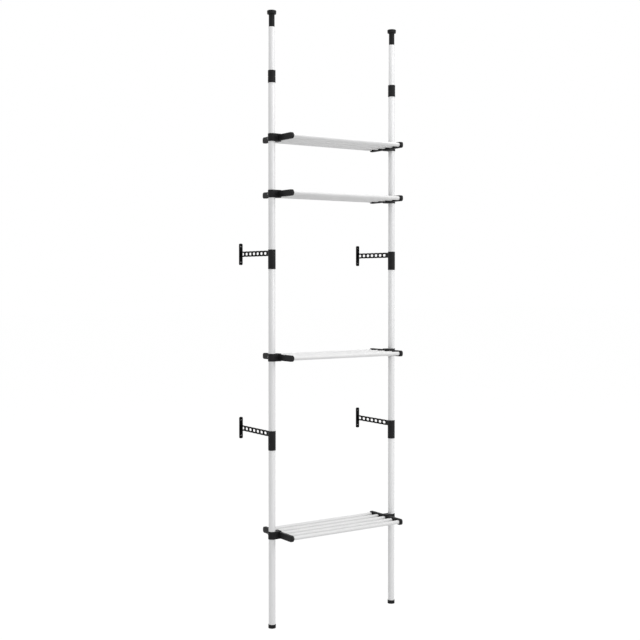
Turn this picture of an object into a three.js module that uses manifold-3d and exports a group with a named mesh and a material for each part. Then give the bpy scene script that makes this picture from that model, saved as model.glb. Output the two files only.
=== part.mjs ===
// A tension pole shelf unit: two telescopic poles braced between floor and ceiling, steadied by
// slotted arms that reach back to a wall, with four shelves of round rods clamped between them.
// Millimetres, +Z up, +X from the left pole to the right one, +Y back towards the wall.
// The origin is on the floor, in the middle of the unit's footprint.
import * as THREE from "three";
import { mergeVertices } from "three/addons/utils/BufferGeometryUtils.js";
import Module from "manifold-3d";

// Poles
const poleSpacing = 612;
const tubeRadius = 14;
const tubeWall = 0.8;
const lowerTubeLength = 758;
const middleTubeLength = 731;
const upperTubeLength = 735;
const innerTubeLength = 600;
const innerTubeShow = 174.2;
const roundSides = 20;

// Clearances
const fitClearance = 0.3;
const slideClearance = 0.25;
const seatGap = 0.3;

// Foot caps
const footHeight = 15;
const footFloor = 3;
const fittingWall = 1.1;
const edgeChamfer = 0.8;

// Wall sleeves, which couple two tubes and carry a wall arm in a lug
const wallSleeveLength = 79;
const tubeStopThickness = 3;
const tubeStopWidth = 2.5;
const armDropFromTop = 14.5;
const cheekThickness = 2.6;
const cheekRadius = 8.5;
const cheekRootRise = 3.5;
const armPinRadius = 2.4;
const armPinProud = 0.6;

// Wall arms: a strap with a chain of slots and an upright plate
const armThickness = 3.6;
const armHalfHeight = 11;
const armScallop = 0.6;
const slotCount = 7;
const slotPitch = 30;
const slotLength = 20.5;
const slotHalfHeight = 5.4;
const firstSlotOffset = 24.3;
const plateOffset = 16;
const plateThickness = 5;
const plateHeight = 91;
const plateWidth = 16;
const plateCorner = 5.5;
const wallScrewRadius = 2;
const wallScrewSpacing = 66;

// Lock sleeves at the mouth of the upper tubes
const lockSkirt = 25;
const lockGrip = 25;
const lockRimWall = 1.2;
const lockGrooveDepth = 0.7;
const lockGrooveHalfWidth = 1.2;

// Sprung plungers under the ceiling
const stemShow = 51.5;
const stemGuide = 45;
const plungerTravel = 35;
const padRadius = 19;
const padTaper = 0.8;
const padThickness = 14.5;
const padEdge = 2;
const stemWall = 1.1;
const springBoreDepth = 30;
const springSeatThickness = 2;
const springSeatWidth = 2.6;
const springRoom = 14;
const springWireRadius = 1;
const springCurls = 7;
const springStepsPerCurl = 8;
const springWireSides = 5;

// Shelves
const rodCount = 5;
const rodPitch = 49;
const rodRadius = 8;
const rodWall = 0.8;
const rodSides = 12;
const lowestShelfHeight = 378;
const shelfAboveLowerSleeve = 337;
const topShelfBelowLock = 220;
const topShelfGap = 227;

// End brackets
const barThickness = 13;
const barStandOff = 7.1;
const barEdge = 4.2;
const socketDepth = 9;
const rimSides = 12;
const socketRimWall = 2.2;
const socketRimLength = 2.5;
const collarWall = 1.6;
const collarHeight = 31.5;
const blockProud = 0.8;
const blockCorner = 3;

// Clamp screws at the back of the collars
const clampBossRadius = 6;
const clampBossLength = 8;
const clampScrewRadius = 2;
const clampHeadRadius = 4;
const clampHeadLength = 4;
const clampSocketRadius = 1.8;
const clampSocketDepth = 2.4;
const screwSides = 8;
const bossSides = 10;

// Straight steps that each arc of an outline is drawn in
const cheekArcSteps = 3;
const strapArcSteps = 2;
const plateArcSteps = 3;
const barArcSteps = 4;
const blockArcSteps = 4;

// One overrun serves all cuts.
const overrun = 2;

// Radii that follow from the tubes
const boreRadius = tubeRadius + fitClearance;
const sleeveRadius = boreRadius + fittingWall;
const innerTubeRadius = tubeRadius - tubeWall - slideClearance;
const innerBoreRadius = innerTubeRadius - tubeWall;
const stemRadius = innerBoreRadius - fitClearance;
const springBoreRadius = stemRadius - stemWall;
const springRadius = springBoreRadius - fitClearance - springWireRadius;
const collarRadius = boreRadius + collarWall;

// Heights that follow from the stack of tubes
const lowerTubeBottom = footFloor + seatGap;
const lowerSleeveMiddle = lowerTubeBottom + lowerTubeLength + seatGap + tubeStopThickness / 2;
const middleTubeBottom = lowerSleeveMiddle + tubeStopThickness / 2 + seatGap;
const upperSleeveMiddle = middleTubeBottom + middleTubeLength + seatGap + tubeStopThickness / 2;
const upperTubeBottom = upperSleeveMiddle + tubeStopThickness / 2 + seatGap;
const lockShoulder = upperTubeBottom + upperTubeLength + seatGap;
const lockBottom = lockShoulder - lockSkirt;
const lockTop = lockShoulder + lockGrip;
const innerTubeTop = lockTop + innerTubeShow;
const padBottom = innerTubeTop + stemShow;
const ceilingHeight = padBottom + padThickness;
const stemBottom = innerTubeTop - stemGuide;
const springTop = stemBottom + springBoreDepth;
const springSeatTop = stemBottom - plungerTravel - springRoom;

// Places across the unit
const barOuterX = collarRadius + barStandOff;
const barInnerX = barOuterX + barThickness;
const barEndRadius = rodRadius + fitClearance + barEdge;
const barLength = (rodCount - 1) * rodPitch + 2 * barEndRadius;
const armPinY = sleeveRadius + seatGap + armHalfHeight;
const firstSlotY = armPinY + firstSlotOffset;
const plateFrontY = firstSlotY + (slotCount - 1) * slotPitch + plateOffset;
const wallY = plateFrontY + plateThickness;

// Colours and finishes from the photograph
function finish(color, roughness, metalness) {
  return new THREE.MeshStandardMaterial({ color, roughness, metalness });
}

const silverTube = finish(0xe4e4e4, 0.3, 0.4);
const whiteRod = finish(0xeeeeee, 0.35, 0.1);
const blackPlastic = finish(0x1e1e1e, 0.55, 0);
const steel = finish(0x9a9a9a, 0.4, 1);

const wasm = await Module();
wasm.setup();

// A closed geometry as a solid that can be joined and cut.
function solid(geometry) {
  const bare = geometry.clone();
  bare.deleteAttribute("normal");
  bare.deleteAttribute("uv");
  const merged = mergeVertices(bare);
  return new wasm.Manifold(
    new wasm.Mesh({
      numProp: 3,
      vertProperties: merged.attributes.position.array,
      triVerts: new Uint32Array(merged.index.array),
    }),
  );
}

// A solid turned back into a geometry with flat-shaded normals.
function geometryOf(body) {
  const mesh = body.getMesh();
  const indexed = new THREE.BufferGeometry();
  indexed.setAttribute("position", new THREE.BufferAttribute(mesh.vertProperties, 3));
  indexed.setIndex(new THREE.BufferAttribute(mesh.triVerts, 1));
  const flat = indexed.toNonIndexed();
  flat.computeVertexNormals();
  return flat;
}

// A profile of [radius, height] points turned about +Z.
function turned(profile, sides = roundSides) {
  const points = profile.map(([radius, height]) => new THREE.Vector2(radius, height));
  return new THREE.LatheGeometry(points, sides).rotateX(Math.PI / 2);
}

// A round bar about +Z between two heights.
function roundBar(radius, bottom, top, sides = roundSides) {
  return turned([[0, bottom], [radius, bottom], [radius, top], [0, top]], sides);
}

// A tube about +Z between two heights, open at both ends.
function tube(outer, inner, bottom, top, sides = roundSides) {
  return turned([[outer, bottom], [outer, top], [inner, top], [inner, bottom], [outer, bottom]], sides);
}

const alongX = new THREE.Vector3(1, 0, 0);
const alongY = new THREE.Vector3(0, 1, 0);
const alongZ = new THREE.Vector3(0, 0, 1);

// An outline drawn in (Y, Z) and pushed along +X from one face to the other.
function pushedAlongX(shape, from, to, curveSegments) {
  const geometry = new THREE.ExtrudeGeometry(shape, { depth: to - from, bevelEnabled: false, curveSegments });
  const sideways = new THREE.Matrix4().makeBasis(alongY, alongZ, alongX);
  return geometry.applyMatrix4(sideways).translate(from, 0, 0);
}

// An outline drawn in (X, Z) and pushed along +Y from one face to the other.
function pushedAlongY(shape, from, to, curveSegments) {
  const geometry = new THREE.ExtrudeGeometry(shape, { depth: to - from, bevelEnabled: false, curveSegments });
  const upright = new THREE.Matrix4().makeBasis(alongX, alongZ, alongY.clone().negate());
  return geometry.applyMatrix4(upright).translate(0, to, 0);
}

// An outline with straight sides and round ends, long along its first axis.
function roundEnded(shape, middle, length, radius) {
  const straight = length / 2 - radius;
  shape.absarc(middle + straight, 0, radius, -Math.PI / 2, Math.PI / 2);
  shape.absarc(middle - straight, 0, radius, Math.PI / 2, (Math.PI * 3) / 2);
  shape.closePath();
  return shape;
}

// The cup under a pole. The lower tube stands on its floor.
function footCap() {
  return turned([
    [0, 0],
    [sleeveRadius - edgeChamfer, 0],
    [sleeveRadius, edgeChamfer],
    [sleeveRadius, footHeight],
    [boreRadius, footHeight],
    [boreRadius, footFloor],
    [0, footFloor],
  ]);
}

// The inner tube, with a pressed-in ring that the spring stands on.
function innerTube() {
  const seatRadius = innerBoreRadius - springSeatWidth;
  return turned([
    [innerTubeRadius, innerTubeTop - innerTubeLength],
    [innerTubeRadius, innerTubeTop],
    [innerBoreRadius, innerTubeTop],
    [innerBoreRadius, springSeatTop],
    [seatRadius, springSeatTop],
    [seatRadius, springSeatTop - springSeatThickness],
    [innerBoreRadius, springSeatTop - springSeatThickness],
    [innerBoreRadius, innerTubeTop - innerTubeLength],
    [innerTubeRadius, innerTubeTop - innerTubeLength],
  ]);
}

// The lock sleeve: its skirt goes over the upper tube, its grip closes on the inner tube.
function lockSleeve() {
  const radius = boreRadius + lockRimWall;
  const gripBore = innerTubeRadius + fitClearance;
  const grooveRadius = radius - lockGrooveDepth;
  return turned([
    [radius - edgeChamfer, lockBottom],
    [radius, lockBottom + edgeChamfer],
    [radius, lockShoulder - lockGrooveHalfWidth],
    [grooveRadius, lockShoulder],
    [radius, lockShoulder + lockGrooveHalfWidth],
    [radius, lockTop - edgeChamfer],
    [radius - edgeChamfer, lockTop],
    [gripBore, lockTop],
    [gripBore, lockShoulder],
    [boreRadius, lockShoulder],
    [boreRadius, lockBottom],
    [radius - edgeChamfer, lockBottom],
  ]);
}

// The plunger: a hollow stem guided in the inner tube, and the pad that meets the ceiling.
function plunger() {
  return turned([
    [0, springTop],
    [springBoreRadius, springTop],
    [springBoreRadius, stemBottom],
    [stemRadius, stemBottom],
    [stemRadius, padBottom],
    [padRadius - padTaper, padBottom],
    [padRadius, ceilingHeight - padEdge],
    [padRadius - padEdge, ceilingHeight],
    [0, ceilingHeight],
  ]);
}

// The compression spring between its seat in the inner tube and the plunger's blind bore.
class SpringCoil extends THREE.Curve {
  constructor(radius, bottom, top, curls) {
    super();
    Object.assign(this, { radius, bottom, top, curls });
  }

  getPoint(share, target = new THREE.Vector3()) {
    const angle = share * this.curls * 2 * Math.PI;
    const height = this.bottom + share * (this.top - this.bottom);
    return target.set(this.radius * Math.cos(angle), this.radius * Math.sin(angle), height);
  }
}

function spring() {
  const bottom = springSeatTop + seatGap + springWireRadius;
  const top = springTop - seatGap - springWireRadius;
  const wire = new THREE.Shape();
  for (let side = 0; side < springWireSides; side += 1) {
    const angle = (side / springWireSides) * 2 * Math.PI;
    const place = [springWireRadius * Math.cos(angle), springWireRadius * Math.sin(angle)];
    if (side === 0) wire.moveTo(...place);
    else wire.lineTo(...place);
  }
  wire.closePath();
  return new THREE.ExtrudeGeometry(wire, {
    steps: springCurls * springStepsPerCurl,
    extrudePath: new SpringCoil(springRadius, bottom, top, springCurls),
  });
}

// One cheek's outline in (Y, Z) about the arm's height: round at the pin, wider at the sleeve.
function cheekOutline() {
  const shape = new THREE.Shape();
  shape.moveTo(0, -cheekRadius - cheekRootRise);
  shape.lineTo(sleeveRadius, -cheekRadius - cheekRootRise);
  shape.absarc(armPinY, 0, cheekRadius, -Math.PI / 2, Math.PI / 2);
  shape.lineTo(sleeveRadius, cheekRadius + cheekRootRise);
  shape.lineTo(0, cheekRadius + cheekRootRise);
  shape.closePath();
  return shape;
}

function pinBar(radius, halfLength) {
  const bar = roundBar(radius, -halfLength, halfLength, screwSides);
  return bar.rotateY(Math.PI / 2).translate(0, armPinY, 0);
}

const cheekInnerX = armThickness / 2 + fitClearance;
const cheekOuterX = cheekInnerX + cheekThickness;

// The sleeve about its middle: two bores meet at a rib, and two cheeks take the wall arm.
function wallSleeve() {
  const half = wallSleeveLength / 2;
  const armHeight = half - armDropFromTop;
  const outside = solid(turned([
    [0, -half],
    [sleeveRadius - edgeChamfer, -half],
    [sleeveRadius, edgeChamfer - half],
    [sleeveRadius, half - edgeChamfer],
    [sleeveRadius - edgeChamfer, half],
    [0, half],
  ]));
  const cheek = pushedAlongX(cheekOutline(), cheekInnerX, cheekOuterX, cheekArcSteps);
  const otherCheek = pushedAlongX(cheekOutline(), -cheekOuterX, -cheekInnerX, cheekArcSteps);
  const pinHole = pinBar(armPinRadius + fitClearance, cheekOuterX + overrun).translate(0, 0, armHeight);
  const lowerBore = roundBar(boreRadius, -half - overrun, -tubeStopThickness / 2);
  const upperBore = roundBar(boreRadius, tubeStopThickness / 2, half + overrun);
  const throughBore = roundBar(tubeRadius - tubeStopWidth, -half, half);
  const body = outside
    .add(solid(cheek.translate(0, 0, armHeight)))
    .add(solid(otherCheek.translate(0, 0, armHeight)))
    .subtract(solid(pinHole))
    .subtract(solid(lowerBore))
    .subtract(solid(upperBore))
    .subtract(solid(throughBore));
  return geometryOf(body);
}

// The strap's outline in (Y, Z): a round root, then a shallow bulge over each slot.
function strapOutline() {
  const shape = new THREE.Shape();
  const neckY = (slot) => firstSlotY + (slot - 1 / 2) * slotPitch;
  const bulge = armHalfHeight + 2 * armScallop;
  shape.absarc(armPinY, 0, armHalfHeight, Math.PI / 2, (Math.PI * 3) / 2);
  shape.lineTo(neckY(0), -armHalfHeight);
  for (let slot = 0; slot < slotCount - 1; slot += 1) {
    shape.quadraticCurveTo(neckY(slot + 1 / 2), -bulge, neckY(slot + 1), -armHalfHeight);
  }
  shape.lineTo(plateFrontY + overrun, -armHalfHeight);
  shape.lineTo(plateFrontY + overrun, armHalfHeight);
  shape.lineTo(neckY(slotCount - 1), armHalfHeight);
  for (let slot = slotCount - 2; slot >= 0; slot -= 1) {
    shape.quadraticCurveTo(neckY(slot + 1 / 2), bulge, neckY(slot), armHalfHeight);
  }
  shape.closePath();
  for (let slot = 0; slot < slotCount; slot += 1) {
    const middle = firstSlotY + slot * slotPitch;
    shape.holes.push(roundEnded(new THREE.Path(), middle, slotLength, slotHalfHeight));
  }
  return shape;
}

// The upright plate's outline in (X, Z) with its two wall screw holes.
function plateOutline() {
  const upright = new THREE.Shape();
  const side = plateWidth / 2 - plateCorner;
  const top = plateHeight / 2 - plateCorner;
  upright.absarc(side, top, plateCorner, 0, Math.PI / 2);
  upright.absarc(-side, top, plateCorner, Math.PI / 2, Math.PI);
  upright.absarc(-side, -top, plateCorner, Math.PI, (Math.PI * 3) / 2);
  upright.absarc(side, -top, plateCorner, (Math.PI * 3) / 2, 2 * Math.PI);
  upright.closePath();
  for (const height of [-wallScrewSpacing / 2, wallScrewSpacing / 2]) {
    const hole = new THREE.Path();
    hole.absarc(0, height, wallScrewRadius, 0, Math.PI);
    hole.absarc(0, height, wallScrewRadius, Math.PI, 2 * Math.PI);
    hole.closePath();
    upright.holes.push(hole);
  }
  return upright;
}

// The wall arm about its own height, moulded in one with its plate and its pin.
function wallArm() {
  const strap = solid(pushedAlongX(strapOutline(), -armThickness / 2, armThickness / 2, strapArcSteps));
  const plate = solid(pushedAlongY(plateOutline(), plateFrontY, wallY, plateArcSteps));
  const pin = solid(pinBar(armPinRadius, cheekOuterX + armPinProud));
  return geometryOf(strap.add(plate).add(pin));
}

// The end bracket about its pole, with its sockets facing +X.
function blockOutline() {
  const shape = new THREE.Shape();
  const inner = barInnerX + blockProud;
  shape.absarc(0, 0, collarRadius, Math.PI / 2, (Math.PI * 3) / 2);
  shape.absarc(inner - blockCorner, blockCorner - collarRadius, blockCorner, -Math.PI / 2, 0);
  shape.absarc(inner - blockCorner, collarRadius - blockCorner, blockCorner, 0, Math.PI / 2);
  shape.closePath();
  return shape;
}

const rodY = (rod) => (rod - (rodCount - 1) / 2) * rodPitch;

function endBracket() {
  const barShape = roundEnded(new THREE.Shape(), 0, barLength, barEndRadius);
  const bar = solid(pushedAlongX(barShape, barOuterX, barInnerX, barArcSteps));
  const collarBlock = new THREE.ExtrudeGeometry(blockOutline(), {
    depth: collarHeight,
    bevelEnabled: false,
    curveSegments: blockArcSteps,
  }).translate(0, 0, -collarHeight / 2);
  const bossEnd = collarRadius + clampBossLength;
  const boss = roundBar(clampBossRadius, 0, bossEnd, bossSides);
  const bossHole = roundBar(clampScrewRadius + fitClearance, 0, bossEnd + overrun, screwSides);
  const bore = roundBar(boreRadius, -collarHeight, collarHeight);
  let body = bar.add(solid(collarBlock)).add(solid(boss.rotateX(-Math.PI / 2)));
  const socketRadius = rodRadius + fitClearance;
  const rimEnd = barInnerX + socketRimLength;
  for (let rod = 0; rod < rodCount; rod += 1) {
    const rim = roundBar(socketRadius + socketRimWall, barInnerX - overrun, rimEnd, rimSides);
    const socket = roundBar(socketRadius, barInnerX - socketDepth, rimEnd + overrun, rodSides);
    body = body
      .add(solid(rim.rotateY(Math.PI / 2).translate(0, rodY(rod), 0)))
      .subtract(solid(socket.rotateY(Math.PI / 2).translate(0, rodY(rod), 0)));
  }
  return geometryOf(body.subtract(solid(bossHole.rotateX(-Math.PI / 2))).subtract(solid(bore)));
}

// A rod between the floors of its two sockets.
function shelfRod() {
  const half = poleSpacing / 2 - barInnerX + socketDepth - seatGap;
  return tube(rodRadius, rodRadius - rodWall, -half, half, rodSides).rotateY(Math.PI / 2);
}

// The clamp screw: its tip meets the pole, its head stands behind the boss.
function clampScrew() {
  const tip = tubeRadius + seatGap;
  const underHead = collarRadius + clampBossLength + seatGap;
  const end = underHead + clampHeadLength;
  const screw = turned([
    [0, tip],
    [clampScrewRadius, tip],
    [clampScrewRadius, underHead],
    [clampHeadRadius, underHead],
    [clampHeadRadius, end],
    [clampSocketRadius, end],
    [clampSocketRadius, end - clampSocketDepth],
    [0, end - clampSocketDepth],
  ], screwSides);
  return screw.rotateX(-Math.PI / 2);
}

function named(name, geometry, material) {
  const mesh = new THREE.Mesh(geometry, material);
  mesh.name = name;
  return mesh;
}

const unit = new THREE.Group();
unit.name = "tension_pole_shelf_unit";
const onPoles = new THREE.Group();
onPoles.position.y = (barLength / 2 - wallY) / 2;
unit.add(onPoles);

const sleeveShape = wallSleeve();
const armShape = wallArm();
const poles = [["left", -1], ["right", 1]];

for (const [side, sign] of poles) {
  const pole = new THREE.Group();
  pole.position.x = (sign * poleSpacing) / 2;
  onPoles.add(pole);
  const plainTube = (bottom, length) => tube(tubeRadius, tubeRadius - tubeWall, bottom, bottom + length);
  pole.add(named(`${side}_foot_cap`, footCap(), blackPlastic));
  pole.add(named(`${side}_lower_tube`, plainTube(lowerTubeBottom, lowerTubeLength), silverTube));
  pole.add(named(`${side}_middle_tube`, plainTube(middleTubeBottom, middleTubeLength), silverTube));
  pole.add(named(`${side}_upper_tube`, plainTube(upperTubeBottom, upperTubeLength), silverTube));
  pole.add(named(`${side}_inner_tube`, innerTube(), silverTube));
  pole.add(named(`${side}_lock_sleeve`, lockSleeve(), blackPlastic));
  pole.add(named(`${side}_plunger`, plunger(), blackPlastic));
  pole.add(named(`${side}_spring`, spring(), steel));
  for (const [level, middle] of [["lower", lowerSleeveMiddle], ["upper", upperSleeveMiddle]]) {
    const sleeve = named(`${side}_${level}_wall_sleeve`, sleeveShape, blackPlastic);
    sleeve.position.z = middle;
    const arm = named(`${side}_${level}_wall_arm`, armShape, blackPlastic);
    arm.position.z = middle + wallSleeveLength / 2 - armDropFromTop;
    pole.add(sleeve, arm);
  }
}

const topShelfHeight = lockBottom - topShelfBelowLock;
const shelfHeights = [
  lowestShelfHeight,
  lowerSleeveMiddle + shelfAboveLowerSleeve,
  topShelfHeight - topShelfGap,
  topShelfHeight,
];
const bracketShape = endBracket();
const screwShape = clampScrew();
const rodShape = shelfRod();

shelfHeights.forEach((height, index) => {
  const shelf = new THREE.Group();
  const label = `shelf_${index + 1}`;
  shelf.position.z = height;
  onPoles.add(shelf);
  for (const [side, sign] of poles) {
    const bracket = named(`${label}_${side}_bracket`, bracketShape, blackPlastic);
    bracket.position.x = (sign * poleSpacing) / 2;
    bracket.scale.x = -sign;
    const screw = named(`${label}_${side}_clamp_screw`, screwShape, steel);
    screw.position.x = bracket.position.x;
    shelf.add(bracket, screw);
  }
  for (let rod = 0; rod < rodCount; rod += 1) {
    const bar = named(`${label}_rod_${rod + 1}`, rodShape, whiteRod);
    bar.position.y = rodY(rod);
    shelf.add(bar);
  }
});

export default unit;
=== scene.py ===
# %% [markdown]
# # A tension pole shelf unit
# Two telescopic poles are braced between a floor and a ceiling. Four slotted arms steady them
# against a wall, and four shelves of round rods are clamped between them. This lesson dresses the
# measured model of it: every piece gets its smooth final shape and its finish, and rides on the
# body that moves it.

# %% Load the measured model
from math import cos, pi, radians, sin, sqrt

import bmesh
import bpy
from mathutils import Matrix, Vector


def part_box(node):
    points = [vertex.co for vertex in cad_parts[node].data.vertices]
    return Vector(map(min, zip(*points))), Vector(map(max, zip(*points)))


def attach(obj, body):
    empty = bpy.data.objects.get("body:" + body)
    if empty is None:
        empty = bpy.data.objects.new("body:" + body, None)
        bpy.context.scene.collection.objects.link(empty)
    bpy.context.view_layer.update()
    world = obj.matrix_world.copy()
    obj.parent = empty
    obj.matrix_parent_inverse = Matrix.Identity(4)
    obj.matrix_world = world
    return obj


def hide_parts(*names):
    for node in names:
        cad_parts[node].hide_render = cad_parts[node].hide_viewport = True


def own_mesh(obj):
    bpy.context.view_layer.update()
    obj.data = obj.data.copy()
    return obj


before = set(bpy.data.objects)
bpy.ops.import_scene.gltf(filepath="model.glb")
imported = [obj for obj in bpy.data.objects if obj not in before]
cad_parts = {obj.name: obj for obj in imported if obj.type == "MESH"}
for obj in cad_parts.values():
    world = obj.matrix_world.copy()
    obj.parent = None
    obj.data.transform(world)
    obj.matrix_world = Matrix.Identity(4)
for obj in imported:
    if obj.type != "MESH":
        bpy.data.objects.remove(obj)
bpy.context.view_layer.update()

# %% [markdown]
# ## Where things are
# Each piece stands exactly where the measured model has it. So the places are read from the
# nodes' boxes, and every helper works in millimetres about a pole's axis or a shelf's middle.

# %% Read the places
MM = 0.001
SIDES = {"left": -1, "right": 1}
ARM_LEVELS = ("lower", "upper")
SHELVES = ("shelf_1", "shelf_2", "shelf_3", "shelf_4")


def node_heights(node):
    low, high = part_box(node)
    return low[2] / MM, high[2] / MM


def middle_height(node):
    low, high = node_heights(node)
    return (low + high) / 2


foot_low, foot_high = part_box("right_foot_cap")
POLE_X = (foot_low[0] + foot_high[0]) / 2
POLE_Y = (foot_low[1] + foot_high[1]) / 2


def on_pole(side, height=0.0):
    return SIDES[side] * POLE_X, POLE_Y, height * MM


print("pole axes at x = +-%.4f, y = %.4f" % (POLE_X, POLE_Y))

# %% [markdown]
# ## The black of the fittings
# The real fittings are injection moulded. Such a surface has a fine, even grain that breaks up
# its highlights, and it is never one exact grey. Two noises on Object coordinates do that: a fine
# one for the bump, and a broad one for colour and roughness. A flat black would look like a hole.
# The wall arms look duller than the other fittings, so they get a black of their own with hardly
# any shine, and a darker tint that is painted shade.

# %% Finish helpers
# Nearly all of a noise's values lie between these two.
NOISE_LOW = 0.3
NOISE_HIGH = 0.7


def new_finish(name):
    material = bpy.data.materials.new(name)
    material.use_nodes = True
    nodes = material.node_tree.nodes
    return material, nodes, material.node_tree.links, nodes["Principled BSDF"]


def noise(nodes, links, per_metre, detail=3.0):
    place = nodes.new("ShaderNodeTexCoord")
    mapping = nodes.new("ShaderNodeMapping")
    mapping.inputs["Scale"].default_value = per_metre
    pattern = nodes.new("ShaderNodeTexNoise")
    pattern.inputs["Scale"].default_value = 1.0
    pattern.inputs["Detail"].default_value = detail
    links.new(place.outputs["Object"], mapping.inputs["Vector"])
    links.new(mapping.outputs["Vector"], pattern.inputs["Vector"])
    return pattern.outputs["Fac"]


def even(per_metre):
    return per_metre, per_metre, per_metre


def ranged(nodes, links, value, low, high):
    spread = nodes.new("ShaderNodeMapRange")
    spread.inputs["From Min"].default_value = NOISE_LOW
    spread.inputs["From Max"].default_value = NOISE_HIGH
    spread.inputs["To Min"].default_value = low
    spread.inputs["To Max"].default_value = high
    links.new(value, spread.inputs["Value"])
    return spread.outputs["Result"]


def grey(value, blue=0.0):
    return value, value, value + blue, 1


def tinted(nodes, links, value, dark, light):
    ramp = nodes.new("ShaderNodeValToRGB")
    first, last = ramp.color_ramp.elements
    first.position = NOISE_LOW
    first.color = dark
    last.position = NOISE_HIGH
    last.color = light
    links.new(value, ramp.inputs["Fac"])
    return ramp.outputs["Color"]


def bumped(nodes, links, shader, value, depth, strength):
    bump = nodes.new("ShaderNodeBump")
    bump.inputs["Distance"].default_value = depth
    bump.inputs["Strength"].default_value = strength
    links.new(value, bump.inputs["Height"])
    links.new(bump.outputs["Normal"], shader.inputs["Normal"])


print("finish helpers ready")

# %% Moulded black plastic
MOULDED_ROUGHNESS = 0.5
MOTTLE_PER_METRE = 35
GRAIN_PER_METRE = 1400


def moulded_black(name, tint, shine):
    material, nodes, links, shader = new_finish(name)
    mottle = noise(nodes, links, even(MOTTLE_PER_METRE))
    grain = noise(nodes, links, even(GRAIN_PER_METRE), detail=2.0)
    blue = tint / 10
    color = tinted(nodes, links, mottle, grey(tint, blue), grey(2 * tint, blue))
    roughness = ranged(nodes, links, mottle, MOULDED_ROUGHNESS - 0.04, MOULDED_ROUGHNESS + 0.05)
    links.new(color, shader.inputs["Base Color"])
    links.new(roughness, shader.inputs["Roughness"])
    bumped(nodes, links, shader, grain, depth=0.2 * MM, strength=0.2)
    shader.inputs["Specular IOR Level"].default_value = shine
    return material


BLACK = moulded_black("satin_black", tint=0.009, shine=0.15)
# The arms' darker tint is painted shade; their low shine is their finish.
ARM_BLACK_SHADED = moulded_black("matt_black_painted_shade", tint=0.0012, shine=0.05)
print("finishes:", BLACK.name, "and", ARM_BLACK_SHADED.name)

# %% [markdown]
# ## The tubes, the rods and the steel
# The poles are drawn aluminium tube, satin under a clear, glossy lacquer: faint lines run along
# them, which stretch every reflection lengthwise. The rods are steel tube in white powder coat,
# whose skin is a little uneven, like orange peel. Springs and screws are zinc plated. Noise
# squeezed along Z draws the lines, and an even noise draws the peel and the zinc's mottling.

# %% Drawn tube, powder coat and zinc
LINES_PER_METRE = (1600, 1600, 30)
TUBE_CLOUDS_PER_METRE = (12, 12, 5)
PEEL_PER_METRE = 500
COAT_CLOUDS_PER_METRE = 14
SPANGLE_PER_METRE = 260


def drawn_tube():
    material, nodes, links, shader = new_finish("drawn_tube")
    lines = noise(nodes, links, LINES_PER_METRE)
    clouds = noise(nodes, links, TUBE_CLOUDS_PER_METRE)
    color = tinted(nodes, links, clouds, grey(0.88, blue=0.005), grey(0.92, blue=0.005))
    links.new(color, shader.inputs["Base Color"])
    links.new(ranged(nodes, links, lines, 0.54, 0.62), shader.inputs["Roughness"])
    bumped(nodes, links, shader, lines, depth=0.05 * MM, strength=0.06)
    shader.inputs["Metallic"].default_value = 0.2
    shader.inputs["Coat Weight"].default_value = 0.7
    shader.inputs["Coat Roughness"].default_value = 0.12
    return material


def powder_coat():
    material, nodes, links, shader = new_finish("powder_coat")
    peel = noise(nodes, links, even(PEEL_PER_METRE), detail=1.5)
    clouds = noise(nodes, links, even(COAT_CLOUDS_PER_METRE))
    links.new(tinted(nodes, links, clouds, grey(0.83), grey(0.87)), shader.inputs["Base Color"])
    links.new(ranged(nodes, links, peel, 0.28, 0.36), shader.inputs["Roughness"])
    bumped(nodes, links, shader, peel, depth=0.2 * MM, strength=0.12)
    return material


def zinc_plate():
    material, nodes, links, shader = new_finish("zinc_plate")
    spangle = noise(nodes, links, even(SPANGLE_PER_METRE), detail=2.0)
    color = tinted(nodes, links, spangle, grey(0.42, blue=0.01), grey(0.56, blue=0.01))
    links.new(color, shader.inputs["Base Color"])
    links.new(ranged(nodes, links, spangle, 0.28, 0.42), shader.inputs["Roughness"])
    bumped(nodes, links, shader, spangle, depth=0.1 * MM, strength=0.1)
    shader.inputs["Metallic"].default_value = 1.0
    return material


TUBE = drawn_tube()
COAT = powder_coat()
ZINC = zinc_plate()

# %% [markdown]
# ## Turned pieces
# Caps, tubes, sleeves and plungers are all round about a pole's axis. The Screw modifier could
# turn a profile, but a short function that lays rings of points keeps the seam closed and lets
# every corner be softened first. A softened corner catches a thin line of light, as real edges do.
# A profile that starts on the axis ends there too. Any other one closes on itself, as a tube's
# wall does.

# %% Turn a profile
ROUND_STEPS = 72
LONGEST_CUT_SHARE = 0.45
CURVE_SHARES = (0, 1 / 3, 2 / 3, 1)
SHARP_ANGLE = radians(40)


def softened(profile, rounding, closed):
    points = []
    last = len(profile) - 1
    for index, (r, z) in enumerate(profile):
        if not closed and index in (0, last):
            points.append((r, z))
            continue
        here = Vector((r, z))
        before = Vector(profile[index - 1]) - here
        after = Vector(profile[(index + 1) % len(profile)]) - here
        room = min(before.length, after.length) * LONGEST_CUT_SHARE
        start = here + before.normalized() * min(rounding, room)
        end = here + after.normalized() * min(rounding, room)
        for share in CURVE_SHARES:
            bend = start * (1 - share) ** 2 + here * 2 * share * (1 - share) + end * share**2
            points.append((bend.x, bend.y))
    return points


def ring_mesh(profile, closed, steps):
    mesh = bmesh.new()
    angles = [2 * pi * step / steps for step in range(steps)]
    rings = []
    for r, z in profile:
        if r == 0:
            rings.append([mesh.verts.new((0, 0, z * MM))] * steps)
            continue
        rings.append([mesh.verts.new((r * cos(a) * MM, r * sin(a) * MM, z * MM)) for a in angles])
    pairs = list(zip(rings, rings[1:]))
    if closed:
        pairs.append((rings[-1], rings[0]))
    for lower, upper in pairs:
        for step in range(steps):
            after = (step + 1) % steps
            corners = [lower[step], lower[after], upper[after], upper[step]]
            face = list(dict.fromkeys(corners))
            if len(face) > 2:
                mesh.faces.new(face)
    bmesh.ops.recalc_face_normals(mesh, faces=mesh.faces)
    return mesh


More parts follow.
